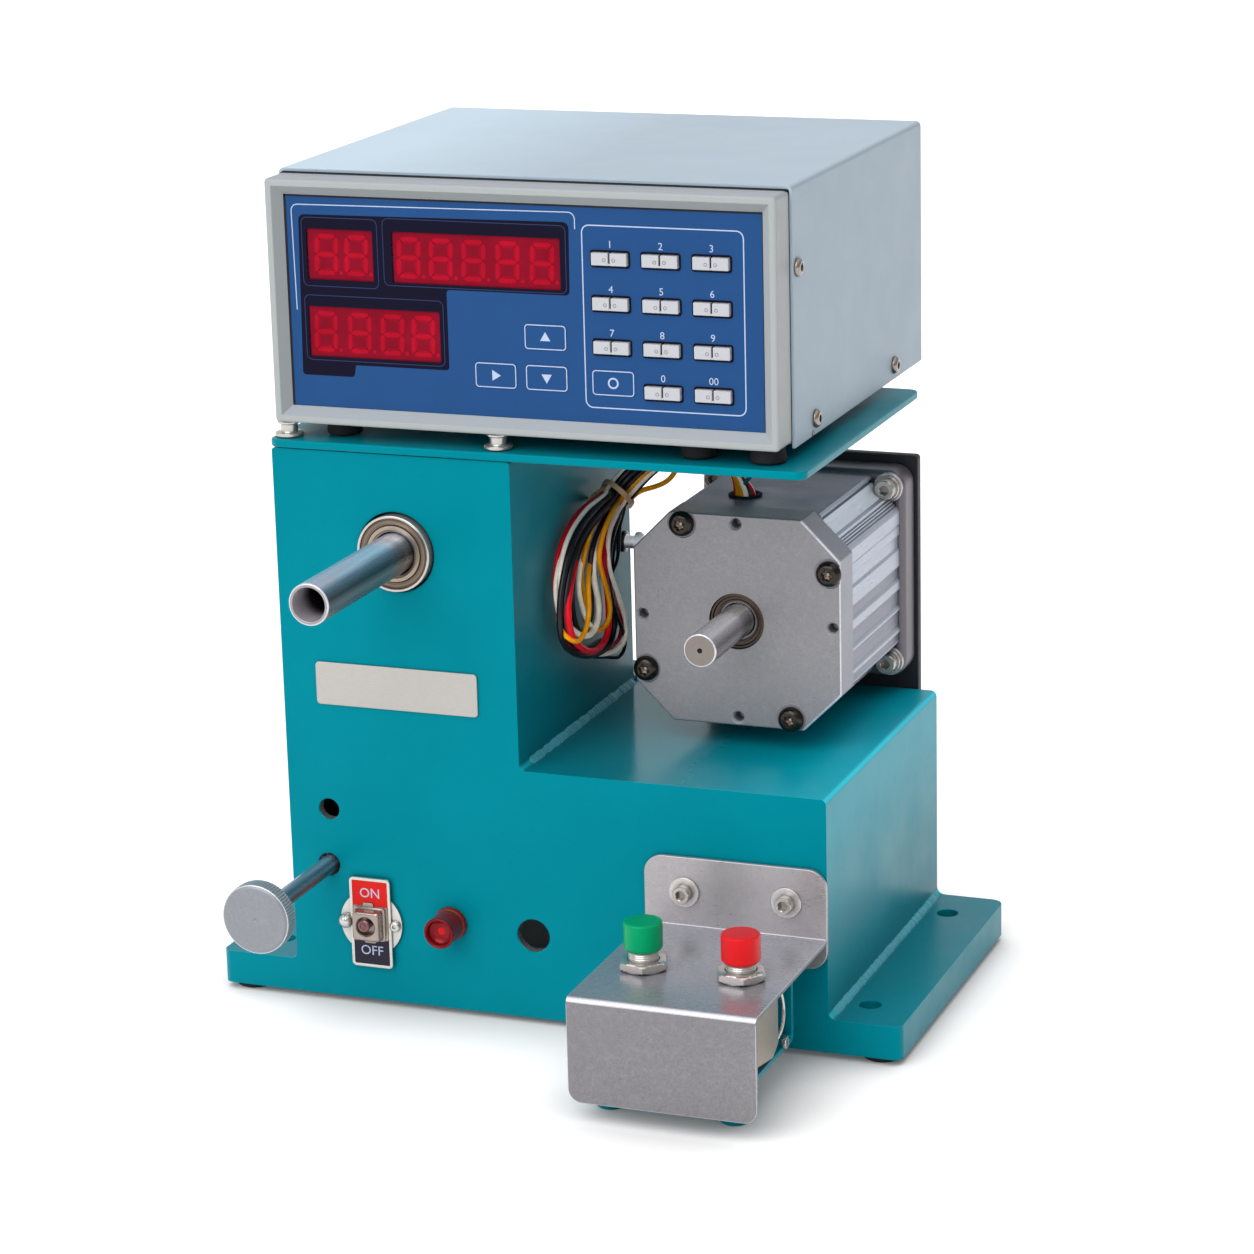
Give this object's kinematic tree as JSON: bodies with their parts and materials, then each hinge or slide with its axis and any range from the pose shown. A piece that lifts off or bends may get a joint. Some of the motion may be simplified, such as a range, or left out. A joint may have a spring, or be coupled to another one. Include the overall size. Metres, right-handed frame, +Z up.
{
  "type": "wire coil winding machine",
  "caption": "Benchtop coil winding machine: teal welded housing with a hollow spindle, a ribbed motor, a digital counter box, a push rod and a start and stop switch bracket.",
  "frame": {"origin": "centre of the bounding box's underside, on the bench surface that the rubber feet stand on", "axes": "+Z up, -Y towards the operator (the spindle, knob and switches point along -Y), +X to the right when facing the front"},
  "size_m": [0.2644, 0.248, 0.3079],
  "materials": {
    "teal_paint": "semi-gloss",
    "cover_paint": "satin",
    "bezel_grey": "satin",
    "panel_blue": "satin film",
    "display_red": "gloss",
    "key_white": "satin",
    "rubber": "matt",
    "belt_rubber": "matt",
    "steel": "ground",
    "bearing_steel": "polished",
    "nickel": "bright",
    "aluminium": "turned",
    "cast_grey": "fine blasted",
    "black_steel": "satin",
    "stainless": "mill finish",
    "lamp_red": "gloss",
    "cap_green": "satin",
    "cap_red": "satin",
    "circuit_board": "semi-gloss",
    "black_plastic": "matt",
    "wire_sleeving": "smooth"
  },
  "bodies": {
    "frame": {"base_plate": "teal_paint", "housing": "teal_paint", "rear_cover": "teal_paint", "top_plate": "teal_paint", "switch_tray": "teal_paint", "box_cover": "cover_paint", "box_chassis": "cover_paint", "display_bezel": "bezel_grey", "control_panel": "panel_blue", "display_module": "display_red", "foot_front_left": "rubber", "foot_front_right": "rubber", "foot_rear_left": "rubber", "foot_rear_right": "rubber", "box_foot_middle": "rubber", "box_foot_right": "rubber", "drive_belt": "belt_rubber", "bulkhead": "steel", "front_bearing": "bearing_steel", "rear_bearing": "bearing_steel", "standoff_left": "nickel", "standoff_middle": "nickel", "wall_screw": "nickel", "toggle_plate": "nickel", "motor_body": "aluminium", "motor_rear_flange": "aluminium", "motor_front_plate": "cast_grey", "spindle_motor": "black_steel", "motor_mount_plate": "black_steel", "switch_bracket": "stainless", "start_button_body": "stainless", "stop_button_body": "stainless", "toggle_switch_body": "stainless", "pilot_lamp": "lamp_red", "control_board": "circuit_board", "turn_sensor": "black_plastic", "power_inlet": "black_plastic", "wire_hank": "wire_sleeving", "motor_lead": "wire_sleeving"},
    "spindle_unit": {"spindle": "steel", "spindle_pulley": "aluminium", "turn_disc": "black_plastic"},
    "drive_unit": {"drive_pulley": "aluminium"},
    "motor_rotor": {"motor_shaft": "steel"},
    "rod_unit": {"rod_knob": "aluminium", "push_rod": "steel"},
    "toggle": {"toggle_lever": "nickel"},
    "start_cap": {"start_button_cap": "cap_green"},
    "stop_cap": {"stop_button_cap": "cap_red"},
    "body_key_01": {"key_01": "key_white"},
    "body_key_02": {"key_02": "key_white"},
    "body_key_03": {"key_03": "key_white"},
    "body_key_04": {"key_04": "key_white"},
    "body_key_05": {"key_05": "key_white"},
    "body_key_06": {"key_06": "key_white"},
    "body_key_07": {"key_07": "key_white"},
    "body_key_08": {"key_08": "key_white"},
    "body_key_09": {"key_09": "key_white"},
    "body_key_10": {"key_10": "key_white"},
    "body_key_11": {"key_11": "key_white"}
  },
  "joints": [
    {"name": "spindle_spin", "type": "hinge", "parent": "frame", "child": "spindle_unit", "pos_m": [-0.0543, -0.0448, 0.174], "axis": [0, 1, 0], "continuous": true},
    {"name": "drive_spin", "type": "hinge", "parent": "frame", "child": "drive_unit", "pos_m": [-0.0543, -0.0148, 0.0724], "axis": [0, 1, 0], "continuous": true},
    {"name": "motor_spin", "type": "hinge", "parent": "frame", "child": "motor_rotor", "pos_m": [0.0571, -0.0368, 0.1442], "axis": [0, 1, 0], "continuous": true},
    {"name": "rod_slide", "type": "slide", "parent": "frame", "child": "rod_unit", "axis": [0, 1, 0], "range_m": [0, 0.035]},
    {"name": "toggle_tilt", "type": "hinge", "parent": "frame", "child": "toggle", "pos_m": [-0.07005, -0.0458, 0.0327], "axis": [1, 0, 0], "range_deg": [0, 16]},
    {"name": "start_press", "type": "slide", "parent": "frame", "child": "start_cap", "axis": [0, 0, -1], "range_m": [0, 0.0022], "stiffness_N_per_m": 800, "springref_m": -0.0008},
    {"name": "stop_press", "type": "slide", "parent": "frame", "child": "stop_cap", "axis": [0, 0, -1], "range_m": [0, 0.0022], "stiffness_N_per_m": 800, "springref_m": -0.0008},
    {"name": "key_01_press", "type": "slide", "parent": "frame", "child": "body_key_01", "axis": [0, 1, 0], "range_m": [0, 0.0008], "stiffness_N_per_m": 1200, "springref_m": -0.0003},
    {"name": "key_02_press", "type": "slide", "parent": "frame", "child": "body_key_02", "axis": [0, 1, 0], "range_m": [0, 0.0008], "stiffness_N_per_m": 1200, "springref_m": -0.0003},
    {"name": "key_03_press", "type": "slide", "parent": "frame", "child": "body_key_03", "axis": [0, 1, 0], "range_m": [0, 0.0008], "stiffness_N_per_m": 1200, "springref_m": -0.0003},
    {"name": "key_04_press", "type": "slide", "parent": "frame", "child": "body_key_04", "axis": [0, 1, 0], "range_m": [0, 0.0008], "stiffness_N_per_m": 1200, "springref_m": -0.0003},
    {"name": "key_05_press", "type": "slide", "parent": "frame", "child": "body_key_05", "axis": [0, 1, 0], "range_m": [0, 0.0008], "stiffness_N_per_m": 1200, "springref_m": -0.0003},
    {"name": "key_06_press", "type": "slide", "parent": "frame", "child": "body_key_06", "axis": [0, 1, 0], "range_m": [0, 0.0008], "stiffness_N_per_m": 1200, "springref_m": -0.0003},
    {"name": "key_07_press", "type": "slide", "parent": "frame", "child": "body_key_07", "axis": [0, 1, 0], "range_m": [0, 0.0008], "stiffness_N_per_m": 1200, "springref_m": -0.0003},
    {"name": "key_08_press", "type": "slide", "parent": "frame", "child": "body_key_08", "axis": [0, 1, 0], "range_m": [0, 0.0008], "stiffness_N_per_m": 1200, "springref_m": -0.0003},
    {"name": "key_09_press", "type": "slide", "parent": "frame", "child": "body_key_09", "axis": [0, 1, 0], "range_m": [0, 0.0008], "stiffness_N_per_m": 1200, "springref_m": -0.0003},
    {"name": "key_10_press", "type": "slide", "parent": "frame", "child": "body_key_10", "axis": [0, 1, 0], "range_m": [0, 0.0008], "stiffness_N_per_m": 1200, "springref_m": -0.0003},
    {"name": "key_11_press", "type": "slide", "parent": "frame", "child": "body_key_11", "axis": [0, 1, 0], "range_m": [0, 0.0008], "stiffness_N_per_m": 1200, "springref_m": -0.0003}
  ],
  "couplings": [
    {"joint": "drive_spin", "follows": "spindle_spin", "ratio": 1.4878}
  ]
}
